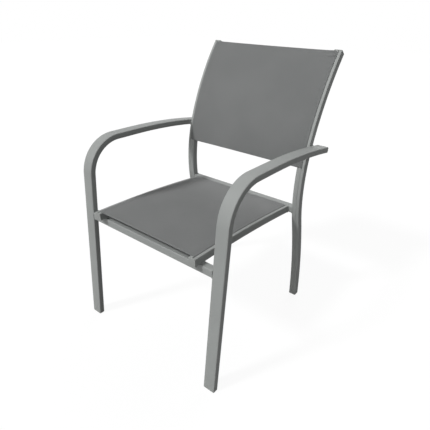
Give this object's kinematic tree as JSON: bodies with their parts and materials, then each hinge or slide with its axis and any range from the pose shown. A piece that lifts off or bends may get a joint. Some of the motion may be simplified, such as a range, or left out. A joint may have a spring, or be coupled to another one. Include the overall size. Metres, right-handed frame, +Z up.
{
  "type": "sling patio chair",
  "caption": "Outdoor armchair with a bent flat-tube frame, a taut sling seat and a taut sling back; the arm and front leg of each side are one tube.",
  "frame": {"origin": "on the floor, at the middle of the chair's outline seen from above", "axes": "+Z up, -Y the way the sitter looks, +X to the right of someone who looks at the chair from in front"},
  "size_m": [0.5806, 0.6716, 0.878],
  "materials": {
    "frame_paint": "satin warm grey powder coat on aluminium",
    "sling_fabric": "matt grey woven vinyl-coated mesh",
    "plug_plastic": "matt grey moulded plastic, close to the frame's colour",
    "foot_plastic": "matt grey moulded plastic with a smooth sole",
    "welt_plastic": "dark extruded plastic rod"
  },
  "bodies": {
    "root": {"back_sling": "sling_fabric", "back_spreader": "frame_paint", "front_cross_tube": "frame_paint", "left_arm_leg_tube": "frame_paint", "left_arm_plug": "plug_plastic", "left_back_welt": "welt_plastic", "left_front_foot": "foot_plastic", "left_rail_plug": "plug_plastic", "left_rear_foot": "foot_plastic", "left_seat_rail": "frame_paint", "left_seat_welt": "welt_plastic", "left_slot_strip": "plug_plastic", "left_top_plug": "plug_plastic", "left_upright": "frame_paint", "rear_cross_tube": "frame_paint", "right_arm_leg_tube": "frame_paint", "right_arm_plug": "plug_plastic", "right_back_welt": "welt_plastic", "right_front_foot": "foot_plastic", "right_rail_plug": "plug_plastic", "right_rear_foot": "foot_plastic", "right_seat_rail": "frame_paint", "right_seat_welt": "welt_plastic", "right_slot_strip": "plug_plastic", "right_top_plug": "plug_plastic", "right_upright": "frame_paint", "seat_sling": "sling_fabric"}
  },
  "joints": []
}
